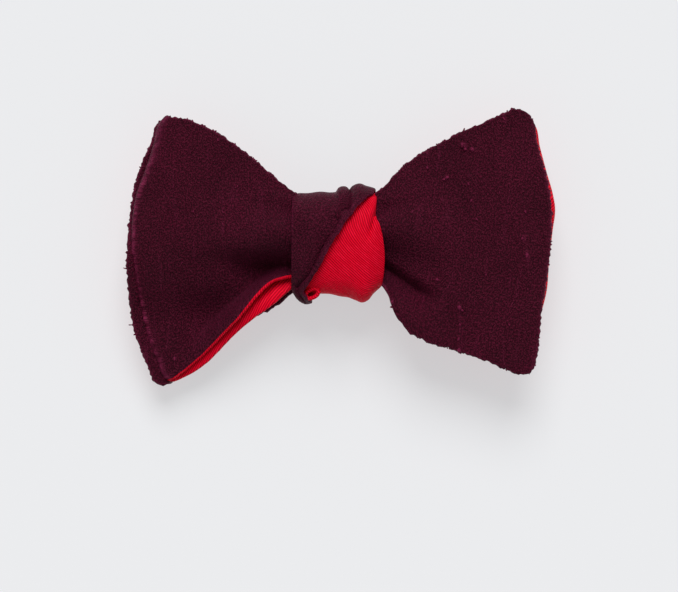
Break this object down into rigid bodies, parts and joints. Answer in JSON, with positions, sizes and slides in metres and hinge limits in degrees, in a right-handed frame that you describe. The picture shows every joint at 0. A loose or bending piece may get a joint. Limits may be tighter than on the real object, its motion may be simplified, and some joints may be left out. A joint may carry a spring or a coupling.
{
  "type": "bow tie",
  "caption": "Hand-tied butterfly bow tie in two-faced silk, lying flat with its folded neckband, slide adjuster, hook and eye behind the bow.",
  "frame": {"origin": "centre of the bounding box's bottom face, on the surface that the bow lies on", "axes": "+Z out of the bow's front, +Y to the top of the bow as it is worn, +X to the right wing as a viewer sees the front"},
  "size_m": [0.1198, 0.0767, 0.0254],
  "materials": {
    "raw_silk": "plum slubbed raw silk, nearly matt with a low sheen",
    "twill_silk": "red silk twill with fine slanting ribs and a soft lustre",
    "wool_interlining": "undyed soft woven wool",
    "tape": "dark plum satin tape",
    "nickel": "bright nickel plate"
  },
  "bodies": {
    "knot_and_neckband": {"knot_under_twill": "twill_silk", "knot_under_interlining": "wool_interlining", "knot_under_silk": "raw_silk", "knot_over_silk": "raw_silk", "knot_over_interlining": "wool_interlining", "knot_over_twill": "twill_silk", "front_waist": "raw_silk", "rear_waist": "raw_silk", "neckband_left": "raw_silk", "neckband_right": "raw_silk", "adjuster_tape": "tape"},
    "left_wing": {"front_loop_face": "raw_silk", "front_loop_interlining": "wool_interlining", "front_loop_lining": "twill_silk", "rear_tip_face": "raw_silk", "rear_tip_interlining": "wool_interlining", "rear_tip_lining": "twill_silk"},
    "right_wing": {"front_tip_face": "raw_silk", "front_tip_interlining": "wool_interlining", "front_tip_lining": "twill_silk", "rear_loop_face": "raw_silk", "rear_loop_interlining": "wool_interlining", "rear_loop_lining": "twill_silk"},
    "slide_unit": {"slide": "nickel", "adjuster_tape_bight": "tape"},
    "hook_unit": {"hook": "nickel"},
    "eye_unit": {"eye": "nickel"}
  },
  "joints": [
    {"name": "left_wing_flex", "type": "hinge", "parent": "knot_and_neckband", "child": "left_wing", "pos_m": [-0.0134, 0, 0.0204], "axis": [0, 1, 0], "range_deg": [-2, 18], "stiffness_Nm_per_rad": 0.25},
    {"name": "right_wing_flex", "type": "hinge", "parent": "knot_and_neckband", "child": "right_wing", "pos_m": [0.013, 0, 0.0204], "axis": [0, -1, 0], "range_deg": [-2, 18], "stiffness_Nm_per_rad": 0.25},
    {"name": "slider_travel", "type": "slide", "parent": "knot_and_neckband", "child": "slide_unit", "axis": [1, 0, 0], "range_m": [-0.005, 0.005], "deforming": ["adjuster_tape"]},
    {"name": "hook_swing", "type": "hinge", "parent": "slide_unit", "child": "hook_unit", "pos_m": [-0.045, 0.0005, 0.00155], "axis": [0, 1, 0], "range_deg": [-4, 18]},
    {"name": "eye_swing", "type": "hinge", "parent": "knot_and_neckband", "child": "eye_unit", "pos_m": [0.046, 0.0005, 0.00185], "axis": [0, -1, 0], "range_deg": [-4, 25]}
  ]
}
